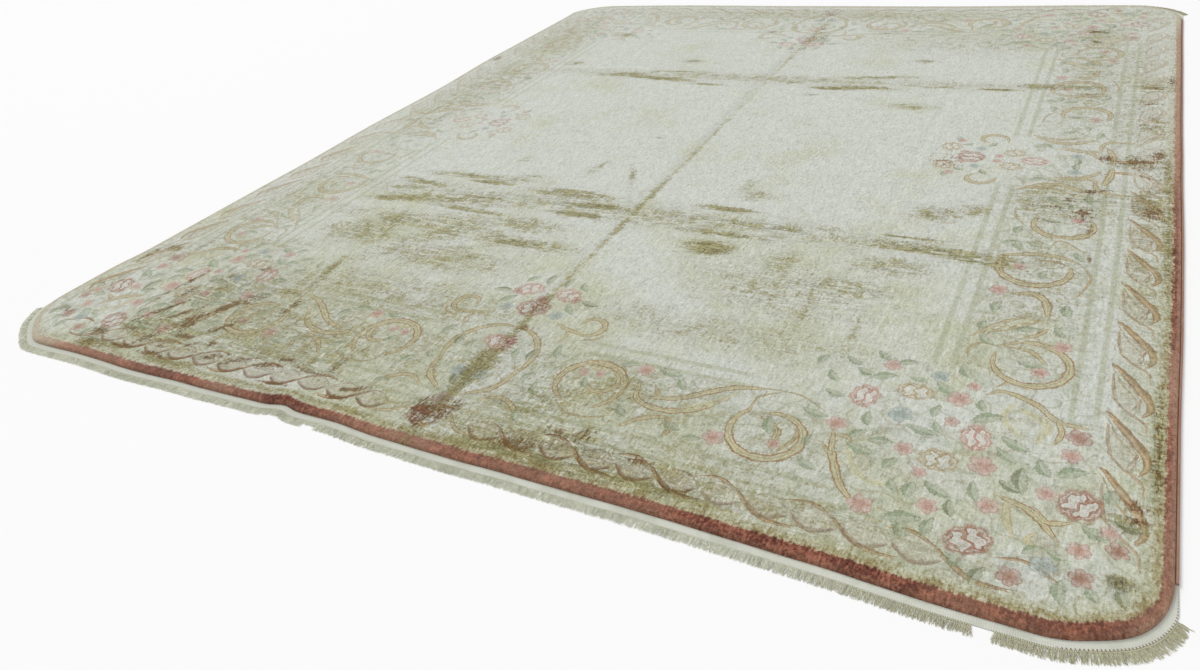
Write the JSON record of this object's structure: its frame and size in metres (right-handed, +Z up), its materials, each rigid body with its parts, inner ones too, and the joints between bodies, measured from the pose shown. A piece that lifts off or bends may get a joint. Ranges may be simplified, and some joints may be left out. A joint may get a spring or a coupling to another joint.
{
  "type": "oushak rug",
  "caption": "Room-size knotted-pile rug lying flat, with rounded corners, a faded scroll and flower border, fold marks, flat-woven ends, knotted fringe and overcast sides; covers a floor.",
  "frame": {"origin": "on the floor, under the middle of the whole rug", "axes": "+X across the rug, +Y along its length, away from the end that lies nearest in the picture, +Z up from the floor"},
  "size_m": [3.0948, 3.7382, 0.0175],
  "materials": {
    "pile": "cut pile with a silky lie, ivory with faded rose, tan, olive and grey-green motifs and a brick-red edge band",
    "warp_yarn": "undyed flat weave and knotted yarn, matt",
    "edge_yarn": "faded rose yarn wrapped close, matt"
  },
  "bodies": {
    "root": {"rug_cloth": "pile", "fringe_near": "warp_yarn", "fringe_far": "warp_yarn", "side_cord_left": "edge_yarn", "side_cord_right": "edge_yarn"}
  },
  "joints": []
}
